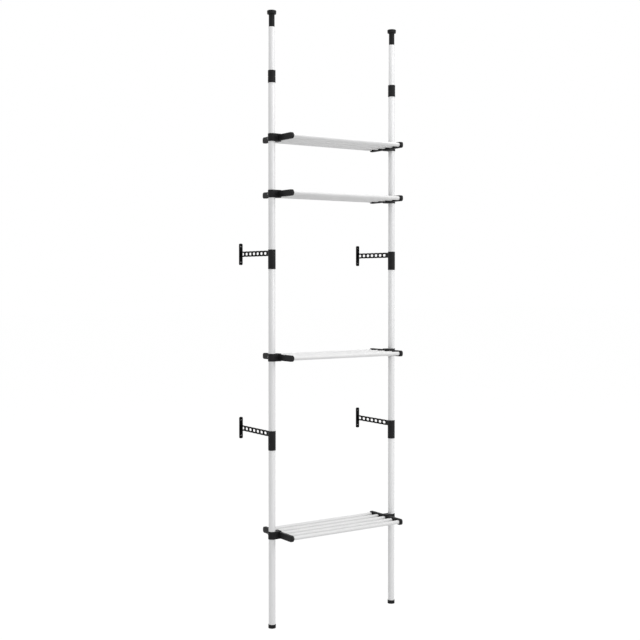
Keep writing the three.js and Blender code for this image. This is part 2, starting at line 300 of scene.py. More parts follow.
def turned(profile, rounding, steps=ROUND_STEPS):
    closed = profile[0][0] > 0
    return ring_mesh(softened(profile, rounding, closed), closed, steps)


def as_mesh(name, *parts):
    joined = bmesh.new()
    for part in parts:
        loose = bpy.data.meshes.new("part")
        part.to_mesh(loose)
        joined.from_mesh(loose)
        bpy.data.meshes.remove(loose)
        part.free()
    mesh = bpy.data.meshes.new(name)
    joined.to_mesh(mesh)
    joined.free()
    mesh.shade_smooth()
    mesh.set_sharp_from_angle(angle=SHARP_ANGLE)
    return mesh


def finished(name, mesh, material, body, *nodes, at=(0, 0, 0)):
    mesh.transform(Matrix.Translation(at))
    mesh.materials.clear()
    mesh.materials.append(material)
    piece = bpy.data.objects.new(name, mesh)
    bpy.context.scene.collection.objects.link(piece)
    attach(piece, body)
    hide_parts(*nodes)
    return piece


print("turning helpers ready")

# %% [markdown]
# ## Foot caps and tubes
# A black cup holds each pole's foot. Above it three tubes stand end to end, joined inside the
# wall sleeves, and a thinner tube slides out of the topmost one. They are thin shells with open
# ends, so each profile runs up the outside and back down the inside.

# %% Make the foot caps and tubes
TUBE_R = 14.0
TUBE_WALL = 0.8
TUBE_EDGE = 0.3
TUBE_BORE_R = TUBE_R - TUBE_WALL
FIT = 0.3
SLEEVE_WALL = 1.1
SLEEVE_BORE_R = TUBE_R + FIT
SLEEVE_R = SLEEVE_BORE_R + SLEEVE_WALL
FOOT_FLOOR = 3.0
FOOT_EDGE = 0.8
TUBE_PARTS = ("lower", "middle", "upper")

for side in SIDES:
    node = f"{side}_foot_cap"
    low, high = node_heights(node)
    cup = [(0, low), (SLEEVE_R, low), (SLEEVE_R, high), (SLEEVE_BORE_R, high)]
    cup += [(SLEEVE_BORE_R, FOOT_FLOOR), (0, FOOT_FLOOR)]
    cap = as_mesh("foot_cap", turned(cup, FOOT_EDGE))
    finished(f"{node}_finished", cap, BLACK, "poles", node, at=on_pole(side))
    for part in TUBE_PARTS:
        node = f"{side}_{part}_tube"
        low, high = node_heights(node)
        wall = [(TUBE_R, low), (TUBE_R, high), (TUBE_BORE_R, high), (TUBE_BORE_R, low)]
        tube = as_mesh("tube", turned(wall, TUBE_EDGE))
        finished(f"{node}_finished", tube, TUBE, "poles", node, at=on_pole(side))
print("foot caps:", len(SIDES), "outer tubes:", len(SIDES) * len(TUBE_PARTS))

# %% [markdown]
# ## Inner tubes, lock sleeves and plungers
# The lock sleeve's skirt goes over the upper tube and its grip closes on the inner tube. The
# plunger is one moulding: a hollow stem that guides it in the inner tube, and the pad that meets
# the ceiling. Each of the three has a body of its own, because each one moves.

# %% Make the inner tubes
SLIDE_FIT = 0.25
INNER_R = TUBE_BORE_R - SLIDE_FIT
INNER_BORE_R = INNER_R - TUBE_WALL
SPRING_SEAT_WIDTH = 2.6
SPRING_SEAT_THICK = 2.0
SPRING_SEAT_R = INNER_BORE_R - SPRING_SEAT_WIDTH
SPRING_SEAT_TOP = 2340.0
SPRING_SEAT_FOOT = SPRING_SEAT_TOP - SPRING_SEAT_THICK

for side in SIDES:
    node = f"{side}_inner_tube"
    low, high = node_heights(node)
    wall = [(INNER_R, low), (INNER_R, high), (INNER_BORE_R, high), (INNER_BORE_R, SPRING_SEAT_TOP)]
    wall += [(SPRING_SEAT_R, SPRING_SEAT_TOP), (SPRING_SEAT_R, SPRING_SEAT_FOOT)]
    wall += [(INNER_BORE_R, SPRING_SEAT_FOOT), (INNER_BORE_R, low)]
    tube = as_mesh("inner_tube", turned(wall, TUBE_EDGE))
    finished(f"{node}_finished", tube, TUBE, f"inner_{side}", node, at=on_pole(side))
print("inner tubes:", len(SIDES), "with spring seats at", SPRING_SEAT_TOP, "mm")

# %% Make the lock sleeves
LOCK_WALL = 1.2
LOCK_R = SLEEVE_BORE_R + LOCK_WALL
LOCK_GRIP_R = INNER_R + FIT
LOCK_EDGE = 0.7
GROOVE_DEPTH = 0.7
GROOVE_R = LOCK_R - GROOVE_DEPTH
GROOVE_MOUTH = 1.4
GROOVE_FLOOR = 0.6

for side in SIDES:
    node = f"{side}_lock_sleeve"
    low, high = node_heights(node)
    shoulder = (low + high) / 2
    grip = [(LOCK_R, low), (LOCK_R, shoulder - GROOVE_MOUTH), (GROOVE_R, shoulder - GROOVE_FLOOR)]
    grip += [(GROOVE_R, shoulder + GROOVE_FLOOR), (LOCK_R, shoulder + GROOVE_MOUTH), (LOCK_R, high)]
    grip += [(LOCK_GRIP_R, high), (LOCK_GRIP_R, shoulder)]
    grip += [(SLEEVE_BORE_R, shoulder), (SLEEVE_BORE_R, low)]
    sleeve = as_mesh("lock_sleeve", turned(grip, LOCK_EDGE))
    finished(f"{node}_finished", sleeve, BLACK, f"lock_{side}", node, at=on_pole(side))
print("lock sleeves:", len(SIDES), "each", round(high - low, 1), "mm long")

# %% Make the plungers
STEM_WALL = 1.1
STEM_R = INNER_BORE_R - FIT
STEM_BORE_R = STEM_R - STEM_WALL
STEM_BORE_DEPTH = 30.0
PAD_R = 19.0
PAD_TAPER = 0.8
PAD_FOOT_R = PAD_R - PAD_TAPER
PAD_THICK = 14.5
PAD_CHAMFER = 2.0
PLUNGER_EDGE = 0.6

for side in SIDES:
    node = f"{side}_plunger"
    low, high = node_heights(node)
    bore_top = low + STEM_BORE_DEPTH
    pad_foot = high - PAD_THICK
    stem = [(0, bore_top), (STEM_BORE_R, bore_top), (STEM_BORE_R, low), (STEM_R, low)]
    stem += [(STEM_R, pad_foot), (PAD_FOOT_R, pad_foot), (PAD_R, high - PAD_CHAMFER)]
    stem += [(PAD_R - PAD_CHAMFER, high), (0, high)]
    plunger = as_mesh("plunger", turned(stem, PLUNGER_EDGE))
    finished(f"{node}_finished", plunger, BLACK, f"plunger_{side}", node, at=on_pole(side))
print("plungers:", len(SIDES), "with pads from", round(pad_foot, 1), "to", round(high, 1), "mm")

# %% [markdown]
# ## The hidden springs
# A compression spring pushes each plunger up. A helix is a rule, so Geometry Nodes make it: a
# Spiral curve swept with a small circle. The node tree has named inputs, which the script sets by
# the socket's identifier. The spring then flattens with its plunger's slide.

# %% Geometry Nodes helpers
def new_tree(name, sizes):
    tree = bpy.data.node_groups.new(name, "GeometryNodeTree")
    tree.interface.new_socket("Geometry", in_out="INPUT", socket_type="NodeSocketGeometry")
    for label, kind in {**sizes, "Finish": "Material"}.items():
        tree.interface.new_socket(label, in_out="INPUT", socket_type=f"NodeSocket{kind}")
    tree.interface.new_socket("Geometry", in_out="OUTPUT", socket_type="NodeSocketGeometry")
    return tree, tree.nodes.new("NodeGroupInput").outputs


def end_tree(tree, geometry, finish):
    realize = tree.nodes.new("GeometryNodeRealizeInstances")
    paint = tree.nodes.new("GeometryNodeSetMaterial")
    outputs = tree.nodes.new("NodeGroupOutput")
    tree.links.new(geometry, realize.inputs[0])
    tree.links.new(realize.outputs[0], paint.inputs["Geometry"])
    tree.links.new(finish, paint.inputs["Material"])
    tree.links.new(paint.outputs["Geometry"], outputs.inputs["Geometry"])


def grown(tree, start_mesh, values):
    carrier = bpy.data.objects.new("carrier", start_mesh)
    bpy.context.scene.collection.objects.link(carrier)
    modifier = carrier.modifiers.new("grow", "NODES")
    modifier.node_group = tree
    for item in tree.interface.items_tree:
        if item.in_out == "INPUT" and item.name in values:
            modifier[item.identifier] = values[item.name]
    depsgraph = bpy.context.evaluated_depsgraph_get()
    mesh = bpy.data.meshes.new_from_object(carrier.evaluated_get(depsgraph), depsgraph=depsgraph)
    carrier.modifiers.remove(modifier)
    bpy.data.objects.remove(carrier)
    return mesh


NOTHING = bpy.data.meshes.new("nothing")
print("Geometry Nodes helpers ready")

# %% The spring's tree
HELIX_STEPS = 40
WIRE_STEPS = 12


def spring_tree():
    sizes = dict.fromkeys(("Curls", "Radius", "Height", "Wire Radius"), "Float")
    tree, value = new_tree("spring_coil", sizes)
    helix = tree.nodes.new("GeometryNodeCurveSpiral")
    helix.inputs["Resolution"].default_value = HELIX_STEPS
    wire = tree.nodes.new("GeometryNodeCurvePrimitiveCircle")
    wire.inputs["Resolution"].default_value = WIRE_STEPS
    sweep = tree.nodes.new("GeometryNodeCurveToMesh")
    sweep.inputs["Fill Caps"].default_value = True
    link = tree.links.new
    link(value["Curls"], helix.inputs["Rotations"])
    link(value["Radius"], helix.inputs["Start Radius"])
    link(value["Radius"], helix.inputs["End Radius"])
    link(value["Height"], helix.inputs["Height"])
    link(value["Wire Radius"], wire.inputs["Radius"])
    link(helix.outputs["Curve"], sweep.inputs["Curve"])
    link(wire.outputs["Curve"], sweep.inputs["Profile Curve"])
    end_tree(tree, sweep.outputs["Mesh"], value["Finish"])
    return tree


SPRING_TREE = spring_tree()
print("tree:", SPRING_TREE.name, "with", len(SPRING_TREE.nodes), "nodes")

# %% Make the springs
SPRING_CURLS = 7.0
SPRING_R = 9.45
WIRE_R = 1.0
SPRING_END_PLAY = 0.2

for side in SIDES:
    node = f"{side}_spring"
    low, high = node_heights(node)
    height = high - low - 2 * (WIRE_R + SPRING_END_PLAY)
    values = {"Curls": SPRING_CURLS, "Radius": SPRING_R * MM, "Height": height * MM}
    values.update({"Wire Radius": WIRE_R * MM, "Finish": ZINC})
    coil = grown(SPRING_TREE, NOTHING, values)
    coil.shade_smooth()
    foot = on_pole(side, low + WIRE_R + SPRING_END_PLAY)
    spring = finished(f"{node}_finished", coil, ZINC, f"inner_{side}", node, at=foot)
    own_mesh(spring)
print("springs:", len(SIDES), "each", round(height, 1), "mm high")

# %% [markdown]
# ## Flat pieces with rounded edges
# Straps, plates, lugs and bracket bodies are flat shapes with some thickness. A filled 2D curve
# is the quickest way to them: it takes holes, gains thickness with Extrude, and its Bevel rounds
# every rim. Offset takes the bevel back inside the outline, so the piece keeps its true size.

# %% Draw an outline
def arc(centre, radius, start, end, steps):
    angles = [radians(start + (end - start) * step / steps) for step in range(steps + 1)]
    return [(centre[0] + radius * cos(a), centre[1] + radius * sin(a)) for a in angles]


def disc(centre, radius, steps):
    return arc(centre, radius, 0, 360, steps)[:-1]


def rounded_oblong(half_width, half_height, corner, steps):
    outline = []
    for quarter, (u, v) in enumerate([(1, 1), (-1, 1), (-1, -1), (1, -1)]):
        centre = (u * (half_width - corner), v * (half_height - corner))
        outline += arc(centre, corner, quarter * 90, quarter * 90 + 90, steps)
    return outline


print("a quarter arc in 2 steps:", arc((0, 0), 1, 0, 90, 2))

# %% Push an outline, or lay a piece along another axis
BEVEL_STEPS = 3
WELD = 0.01
ALONG_X = Matrix(((0, 0, 1, 0), (1, 0, 0, 0), (0, 1, 0, 0), (0, 0, 0, 1)))
ALONG_Y = Matrix(((-1, 0, 0, 0), (0, 0, 1, 0), (0, 1, 0, 0), (0, 0, 0, 1)))
ALONG_Z = Matrix.Identity(4)


def outline_curve(outlines, thickness, rounding):
    curve = bpy.data.curves.new("outline", "CURVE")
    curve.dimensions = "2D"
    curve.fill_mode = "BOTH"
    curve.extrude = (thickness / 2 - rounding) * MM
    curve.bevel_depth = rounding * MM
    curve.bevel_resolution = BEVEL_STEPS
    curve.offset = -rounding * MM
    for number, outline in enumerate(outlines):
        following = outline[1:] + outline[:1]
        area = sum(a[0] * b[1] - b[0] * a[1] for a, b in zip(outline, following))
        ordered = outline if (area > 0) == (number == 0) else outline[::-1]
        spline = curve.splines.new("POLY")
        spline.points.add(len(ordered) - 1)
        spline.use_cyclic_u = True
        for point, (u, v) in zip(spline.points, ordered):
            point.co = (u * MM, v * MM, 0, 1)
    return curve


def laid(mesh, turn, at=(0, 0, 0)):
    bmesh.ops.transform(mesh, verts=mesh.verts, matrix=turn)
    bmesh.ops.translate(mesh, verts=mesh.verts, vec=[value * MM for value in at])
    return mesh


def pushed(outlines, low, high, rounding, turn):
    curve = outline_curve(outlines, high - low, rounding)
    carrier = bpy.data.objects.new("carrier", curve)
    bpy.context.scene.collection.objects.link(carrier)
    depsgraph = bpy.context.evaluated_depsgraph_get()
    flat = bpy.data.meshes.new_from_object(carrier.evaluated_get(depsgraph), depsgraph=depsgraph)
    bpy.data.objects.remove(carrier)
    mesh = bmesh.new()
    mesh.from_mesh(flat)
    bpy.data.meshes.remove(flat)
    bmesh.ops.translate(mesh, verts=mesh.verts, vec=(0, 0, (low + high) / 2 * MM))
    laid(mesh, turn)
    bmesh.ops.remove_doubles(mesh, verts=mesh.verts, dist=WELD * MM)
    bmesh.ops.recalc_face_normals(mesh, faces=mesh.faces)
    return mesh


print("outlines can be pushed along X, Y or Z")

# %% [markdown]
# ## Wall sleeves
# A wall sleeve joins two tubes and carries a slotted arm in a lug of two cheeks, widest where it
# meets the sleeve and round at the pin. The sleeve is turned, with a rib inside that the two tubes
# stand against. The cheeks are pushed outlines that sink a little into it, as one moulding would
# look.

# %% Make the wall sleeves
RIB_HALF = 1.5
RIB_WIDTH = 2.5
RIB_R = TUBE_R - RIB_WIDTH
SLEEVE_EDGE = 0.7
ARM_DROP = 14.5
ARM_THICK = 3.6
ARM_HALF = 11.0
CHEEK_THICK = 2.6
CHEEK_IN = ARM_THICK / 2 + FIT
CHEEK_OUT = CHEEK_IN + CHEEK_THICK
CHEEK_R = 8.5
CHEEK_ROOT_HALF = 12.0
CHEEK_SINK = 0.5
CHEEK_SWEEP = 82
CHEEK_EDGE = 0.5
SEAT_GAP = 0.3
PIN_Y = SLEEVE_R + SEAT_GAP + ARM_HALF
PIN_R = 2.4
PIN_STEPS = 24


def cheek_outline():
    root = sqrt(SLEEVE_R**2 - CHEEK_OUT**2) - CHEEK_SINK
    nose = arc((PIN_Y, 0), CHEEK_R, -CHEEK_SWEEP, CHEEK_SWEEP, steps=16)
    return [(root, -CHEEK_ROOT_HALF), *nose, (root, CHEEK_ROOT_HALF)]


def wall_sleeve(half):
    wall = [(SLEEVE_R, -half), (SLEEVE_R, half), (SLEEVE_BORE_R, half), (SLEEVE_BORE_R, RIB_HALF)]
    wall += [(RIB_R, RIB_HALF), (RIB_R, -RIB_HALF)]
    wall += [(SLEEVE_BORE_R, -RIB_HALF), (SLEEVE_BORE_R, -half)]
    hole = disc((PIN_Y, 0), PIN_R + FIT, PIN_STEPS)
    cheeks = []
    for low, high in ((CHEEK_IN, CHEEK_OUT), (-CHEEK_OUT, -CHEEK_IN)):
        cheek = pushed([cheek_outline(), hole], low, high, CHEEK_EDGE, ALONG_X)
        cheeks.append(laid(cheek, ALONG_Z, (0, 0, half - ARM_DROP)))
    return as_mesh("wall_sleeve", turned(wall, SLEEVE_EDGE), *cheeks)


for side in SIDES:
    for level in ARM_LEVELS:
        node = f"{side}_{level}_wall_sleeve"
        low, high = node_heights(node)
        sleeve = wall_sleeve((high - low) / 2)
        place = on_pole(side, (low + high) / 2)
        finished(f"{node}_finished", sleeve, BLACK, "poles", node, at=place)
print("wall sleeves:", len(SIDES) * len(ARM_LEVELS), "with arm pins at", round(PIN_Y, 1), "mm")

# %% [markdown]
# ## Slotted wall arms
# The arm is a strap with a chain of slots, and its edges swell a little over each slot. That is a
# rule, so Geometry Nodes build the strap: one slot outline is repeated along a line, the wavy
# edge is a grid one square wide that a cosine spreads, and Fill Curve closes the shape round the
# slots before it is extruded. A bevel in mesh code then breaks the sharp rims.

# %% Nodes that work out a value
def fed(tree, kind, *terms, operation=None):
    step = tree.nodes.new(kind)
    if operation:
        step.operation = operation
    for socket, term in zip(step.inputs, terms):
        if isinstance(term, (int, float)):
            socket.default_value = term
        else:
            tree.links.new(term, socket)
    return step.outputs[0]


print("a step's inputs can be numbers or other steps")

# %% The strap's tree
EDGE_POINTS = 141
SLOT_END_STEPS = 8
SLOT_END_SHARE = 0.98
SHUT = 0.005


def strap_edge(tree, value, calc, vector):
    link = tree.links.new
    strip = tree.nodes.new("GeometryNodeMeshGrid")
    strip.inputs["Vertices X"].default_value = EDGE_POINTS
    strip.inputs["Vertices Y"].default_value = 2
    strip.inputs["Size Y"].default_value = 2.0
    link(value["Length"], strip.inputs["Size X"])
    place = tree.nodes.new("GeometryNodeInputPosition")
    split = tree.nodes.new("ShaderNodeSeparateXYZ")
    link(place.outputs[0], split.inputs[0])
    from_start = calc("ADD", split.outputs["X"], calc("MULTIPLY", value["Length"], 0.5))
    along = calc("ADD", from_start, value["Start"])
    turns = calc("DIVIDE", calc("SUBTRACT", along, value["First Slot"]), value["Pitch"])
    slots_begun = calc("ADD", turns, 0.5)
    past_first = calc("GREATER_THAN", slots_begun, 0.0)
    before_last = calc("LESS_THAN", slots_begun, value["Slots"])
    inside = calc("MULTIPLY", past_first, before_last)
    cosine = calc("COSINE", calc("MULTIPLY", turns, 2 * pi))
    wave = calc("MULTIPLY", calc("ADD", cosine, 1.0), 0.5)
    swell = calc("MULTIPLY", calc("MULTIPLY", wave, inside), value["Swell"])
    height = calc("MULTIPLY", split.outputs["Y"], calc("ADD", value["Half Height"], swell))
    wavy = tree.nodes.new("GeometryNodeSetPosition")
    link(strip.outputs["Mesh"], wavy.inputs["Geometry"])
    link(vector(along, height), wavy.inputs["Position"])
    rim = tree.nodes.new("GeometryNodeInputMeshEdgeNeighbors")
    border = tree.nodes.new("FunctionNodeCompare")
    border.data_type = "INT"
    border.operation = "EQUAL"
    neighbours, wanted = [socket for socket in border.inputs if socket.type == "INT"]
    link(rim.outputs[0], neighbours)
    wanted.default_value = 1
    outline = tree.nodes.new("GeometryNodeMeshToCurve")
    link(wavy.outputs["Geometry"], outline.inputs["Mesh"])
    link(border.outputs[0], outline.inputs["Selection"])
    return outline.outputs["Curve"]


def slot_chain(tree, value, calc, vector):
    link = tree.links.new
    slot = tree.nodes.new("GeometryNodeCurvePrimitiveQuadrilateral")
    link(value["Slot Length"], slot.inputs["Width"])
    link(calc("MULTIPLY", value["Slot Half Height"], 2.0), slot.inputs["Height"])
    round_off = tree.nodes.new("GeometryNodeFilletCurve")
    round_off.mode = "POLY"
    round_off.inputs["Count"].default_value = SLOT_END_STEPS
    link(slot.outputs["Curve"], round_off.inputs["Curve"])
    link(calc("MULTIPLY", value["Slot Half Height"], SLOT_END_SHARE), round_off.inputs["Radius"])
    row = tree.nodes.new("GeometryNodeMeshLine")
    link(value["Slots"], row.inputs["Count"])
    link(vector(value["First Slot"]), row.inputs["Start Location"])
    link(vector(value["Pitch"]), row.inputs["Offset"])
    chain = tree.nodes.new("GeometryNodeInstanceOnPoints")
    link(row.outputs["Mesh"], chain.inputs["Points"])
    link(round_off.outputs["Curve"], chain.inputs["Instance"])
    loose = tree.nodes.new("GeometryNodeRealizeInstances")
    link(chain.outputs["Instances"], loose.inputs[0])
    return loose.outputs[0]


def thickened(tree, flat, thickness, calc, vector):
    link = tree.links.new
    under = tree.nodes.new("GeometryNodeSetPosition")
    link(flat, under.inputs["Geometry"])
    link(vector(0.0, 0.0, calc("MULTIPLY", thickness, -0.5)), under.inputs["Offset"])
    thick = tree.nodes.new("GeometryNodeExtrudeMesh")
    thick.inputs["Individual"].default_value = False
    link(under.outputs["Geometry"], thick.inputs["Mesh"])
    link(vector(0.0, 0.0, 1.0), thick.inputs["Offset"])
    link(thickness, thick.inputs["Offset Scale"])
    bottom = tree.nodes.new("GeometryNodeFlipFaces")
    link(under.outputs["Geometry"], bottom.inputs[0])
    shell = tree.nodes.new("GeometryNodeJoinGeometry")
    link(thick.outputs["Mesh"], shell.inputs[0])
    link(bottom.outputs[0], shell.inputs[0])
    weld = tree.nodes.new("GeometryNodeMergeByDistance")
    link(shell.outputs[0], weld.inputs["Geometry"])
    weld.inputs["Distance"].default_value = SHUT * MM
    return weld.outputs["Geometry"]


def strap_tree():
    floats = ("Start", "Length", "Half Height", "Swell", "Pitch", "First Slot", "Slot Length")
    sizes = dict.fromkeys((*floats, "Slot Half Height", "Thickness"), "Float")
    tree, value = new_tree("slotted_strap", {**sizes, "Slots": "Int"})

    def calc(operation, *terms):
        return fed(tree, "ShaderNodeMath", *terms, operation=operation)

    def vector(x=0.0, y=0.0, z=0.0):
        return fed(tree, "ShaderNodeCombineXYZ", x, y, z)

    both = tree.nodes.new("GeometryNodeJoinGeometry")
    tree.links.new(strap_edge(tree, value, calc, vector), both.inputs[0])
    tree.links.new(slot_chain(tree, value, calc, vector), both.inputs[0])
    fill = tree.nodes.new("GeometryNodeFillCurve")
    tree.links.new(both.outputs[0], fill.inputs["Curve"])
    strap_shell = thickened(tree, fill.outputs["Mesh"], value["Thickness"], calc, vector)
    end_tree(tree, strap_shell, value["Finish"])
    return tree


STRAP_TREE = strap_tree()
print("tree:", STRAP_TREE.name, "with", len(STRAP_TREE.nodes), "nodes")

# %% Grow the strap
ARM_SWELL = 0.6
SLOT_COUNT = 7
SLOT_PITCH = 30.0
SLOT_LENGTH = 20.5
SLOT_HALF = 5.4
PIN_TO_FIRST_SLOT = 24.3
LAST_SLOT_TO_PLATE = 16.0
FIRST_SLOT = PIN_Y + PIN_TO_FIRST_SLOT
PLATE_FRONT = FIRST_SLOT + (SLOT_COUNT - 1) * SLOT_PITCH + LAST_SLOT_TO_PLATE
PLATE_SINK = 1.0
STRAP_RIM_ANGLE = radians(60)
STRAP_EDGE = 0.5

STRAP_SIZES = {
    "Start": PIN_Y,
    "Length": PLATE_FRONT + PLATE_SINK - PIN_Y,
    "Half Height": ARM_HALF,
    "Swell": ARM_SWELL,
    "Pitch": SLOT_PITCH,
    "First Slot": FIRST_SLOT,
    "Slot Length": SLOT_LENGTH,
    "Slot Half Height": SLOT_HALF,
    "Thickness": ARM_THICK,
}


def strap():
    values = {label: size * MM for label, size in STRAP_SIZES.items()}
    grown_strap = grown(STRAP_TREE, NOTHING, {**values, "Slots": SLOT_COUNT, "Finish": ARM_BLACK_SHADED})
    mesh = bmesh.new()
    mesh.from_mesh(grown_strap)
    bpy.data.meshes.remove(grown_strap)
    laid(mesh, ALONG_X)
    closed_edges = [edge for edge in mesh.edges if edge.is_manifold]
    rims = [edge for edge in closed_edges if edge.calc_face_angle() > STRAP_RIM_ANGLE]
    width = STRAP_EDGE * MM
    bmesh.ops.bevel(mesh, geom=rims, offset=width, segments=2, affect="EDGES", clamp_overlap=True)
    bmesh.ops.dissolve_degenerate(mesh, edges=mesh.edges, dist=SHUT * MM)
    bmesh.ops.recalc_face_normals(mesh, faces=mesh.faces)
    return mesh


print("strap from", round(PIN_Y, 1), "to", round(PLATE_FRONT, 1), "mm with", SLOT_COUNT, "slots")

# %% Make the wall arms
PLATE_THICK = 5.0
PLATE_BACK = PLATE_FRONT + PLATE_THICK
PLATE_HALF_HEIGHT = 45.5
PLATE_HALF_WIDTH = 8.0
PLATE_CORNER = 5.5
PLATE_EDGE = 0.6
WALL_HOLE_Z = 33.0
WALL_HOLE_R = 2.0
ROOT_INSET = 0.05
ROOT_HALF = ARM_THICK / 2 - ROOT_INSET
ROOT_EDGE = 0.5
PIN_HALF = 5.3
PIN_EDGE = 0.5


def plate():
    oblong = rounded_oblong(PLATE_HALF_WIDTH, PLATE_HALF_HEIGHT, PLATE_CORNER, steps=8)
    holes = [disc((0, height), WALL_HOLE_R, steps=24) for height in (-WALL_HOLE_Z, WALL_HOLE_Z)]
    return pushed([oblong, *holes], PLATE_FRONT, PLATE_BACK, PLATE_EDGE, ALONG_Y)


def wall_arm():
    root_disc = disc((PIN_Y, 0), ARM_HALF, steps=48)
    root = pushed([root_disc], -ROOT_HALF, ROOT_HALF, ROOT_EDGE, ALONG_X)
    bar = [(0, -PIN_HALF), (PIN_R, -PIN_HALF), (PIN_R, PIN_HALF), (0, PIN_HALF)]
    pin = laid(turned(bar, PIN_EDGE, PIN_STEPS), ALONG_X, (0, PIN_Y, 0))
    return as_mesh("wall_arm", strap(), root, plate(), pin)


arm_shape = wall_arm()
for side in SIDES:
    for level in ARM_LEVELS:
        node = f"{side}_{level}_wall_arm"
        place = on_pole(side, middle_height(node))
        arm = arm_shape.copy()
        finished(f"{node}_finished", arm, ARM_BLACK_SHADED, f"arm_{level}_{side}", node, at=place)
print("wall arms:", len(SIDES) * len(ARM_LEVELS), "with", len(arm_shape.polygons), "faces each")

# %% [markdown]
# ## End brackets
# An end bracket is a flat bar with blunt, rounded ends that holds the rods, moulded in one with a
# collar round the pole and a boss for the clamp screw. The bar and the collar block are pushed
# outlines, and the boss and the rims round the rods are turned and laid over. The collar's outline
# has the pole's bore as a hole, so light passes the thin gap round the pole.

# %% Shape the bar and its rims
ROD_COUNT = 5
ROD_PITCH = 49.0
ROD_R = 8.0
ROD_STEPS = 48
SOCKET_R = ROD_R + FIT
COLLAR_WALL = 1.6
COLLAR_R = SLEEVE_BORE_R + COLLAR_WALL
BAR_STAND_OFF = 7.1
BAR_THICK = 13.0
BAR_MARGIN = 4.2
BAR_OUT = COLLAR_R + BAR_STAND_OFF
BAR_IN = BAR_OUT + BAR_THICK
BAR_HALF_HEIGHT = SOCKET_R + BAR_MARGIN
BAR_CORNER = 9.0
BAR_EDGE = 1.6
RIM_WALL = 2.2
RIM_PROUD = 2.5
RIM_SINK = 1.0
RIM_R = SOCKET_R + RIM_WALL
RIM_END = BAR_IN + RIM_PROUD
RIM_ROOT = BAR_IN - RIM_SINK
RIM_EDGE = 0.6


def rod_y(rod):
    return (rod - (ROD_COUNT - 1) / 2) * ROD_PITCH


def bar():
    reach = rod_y(ROD_COUNT - 1) + BAR_HALF_HEIGHT
    oblong = rounded_oblong(reach, BAR_HALF_HEIGHT, BAR_CORNER, steps=12)
    return pushed([oblong], BAR_OUT, BAR_IN, BAR_EDGE, ALONG_X)


def rim(rod):
    wall = [(RIM_R, RIM_ROOT), (RIM_R, RIM_END), (SOCKET_R, RIM_END), (SOCKET_R, RIM_ROOT)]
    return laid(turned(wall, RIM_EDGE, ROD_STEPS), ALONG_X, (0, rod_y(rod), 0))


print("bar from", round(BAR_OUT, 1), "to", round(BAR_IN, 1), "mm off the pole's axis")

# %% Shape the collar and make the brackets
COLLAR_HALF = 15.75
BLOCK_PROUD = 0.8
BLOCK_IN = BAR_IN + BLOCK_PROUD
BLOCK_CORNER = 3.0
BLOCK_EDGE = 0.7
BOSS_R = 6.0
BOSS_SINK = 1.4
BOSS_LENGTH = 8.0
BOSS_ROOT = COLLAR_R - BOSS_SINK
BOSS_END = COLLAR_R + BOSS_LENGTH
BOSS_EDGE = 0.6
SCREW_R = 2.0
SCREW_HOLE_R = SCREW_R + FIT


def collar_block():
    middle_x = BLOCK_IN - BLOCK_CORNER
    middle_y = COLLAR_R - BLOCK_CORNER
    ring = arc((0, 0), COLLAR_R, 90, 270, steps=40)
    ring += arc((middle_x, -middle_y), BLOCK_CORNER, -90, 0, steps=8)
    ring += arc((middle_x, middle_y), BLOCK_CORNER, 0, 90, steps=8)
    bore = disc((0, 0), SLEEVE_BORE_R, steps=64)
    return pushed([ring, bore], -COLLAR_HALF, COLLAR_HALF, BLOCK_EDGE, ALONG_Z)


def boss():
    wall = [(BOSS_R, BOSS_ROOT), (BOSS_R, BOSS_END)]
    wall += [(SCREW_HOLE_R, BOSS_END), (SCREW_HOLE_R, BOSS_ROOT)]
    return laid(turned(wall, BOSS_EDGE, steps=40), ALONG_Y)


def end_bracket(mirrored):
    rims = [rim(rod) for rod in range(ROD_COUNT)]
    mesh = as_mesh("end_bracket", bar(), collar_block(), boss(), *rims)
    if mirrored:
        mesh.transform(Matrix.Scale(-1, 4, (1, 0, 0)))
        mesh.flip_normals()
    return mesh


BRACKETS = {"left": end_bracket(mirrored=False), "right": end_bracket(mirrored=True)}
for shelf in SHELVES:
    for side in SIDES:
        node = f"{shelf}_{side}_bracket"
        place = on_pole(side, middle_height(node))
        finished(f"{node}_finished", BRACKETS[side].copy(), BLACK, shelf, node, at=place)
bracket_faces = len(BRACKETS["left"].polygons)
print("end brackets:", len(SHELVES) * len(SIDES), "with", bracket_faces, "faces each")

# %% [markdown]
# ## Rods and clamp screws
# Each shelf repeats one rod five times, and one clamp screw on each pole. One small tree serves
# both: it copies whatever mesh it is given along a line. The copies are made real, and become one
# mesh of rods and one of screws for each shelf, because they all move with that shelf.

# %% A tree that repeats a piece in a row
def row_tree():
    tree, value = new_tree("row_of_pieces", {"Count": "Int", "Start": "Vector", "Step": "Vector"})
    row = tree.nodes.new("GeometryNodeMeshLine")
    copies = tree.nodes.new("GeometryNodeInstanceOnPoints")
    link = tree.links.new
    link(value["Count"], row.inputs["Count"])
    link(value["Start"], row.inputs["Start Location"])
    link(value["Step"], row.inputs["Offset"])
    link(row.outputs["Mesh"], copies.inputs["Points"])
    link(value["Geometry"], copies.inputs["Instance"])
    end_tree(tree, copies.outputs["Instances"], value["Finish"])
    return tree


ROW_TREE = row_tree()
print("tree:", ROW_TREE.name, "with", len(ROW_TREE.nodes), "nodes")

# %% Make the rods
ROD_WALL = 0.8


def rod_shape():
    low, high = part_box("shelf_1_rod_1")
    half = (high[0] - low[0]) / 2 / MM
    bore = ROD_R - ROD_WALL
    wall = [(ROD_R, -half), (ROD_R, half), (bore, half), (bore, -half)]
    return as_mesh("rod", laid(turned(wall, TUBE_EDGE, ROD_STEPS), ALONG_X))


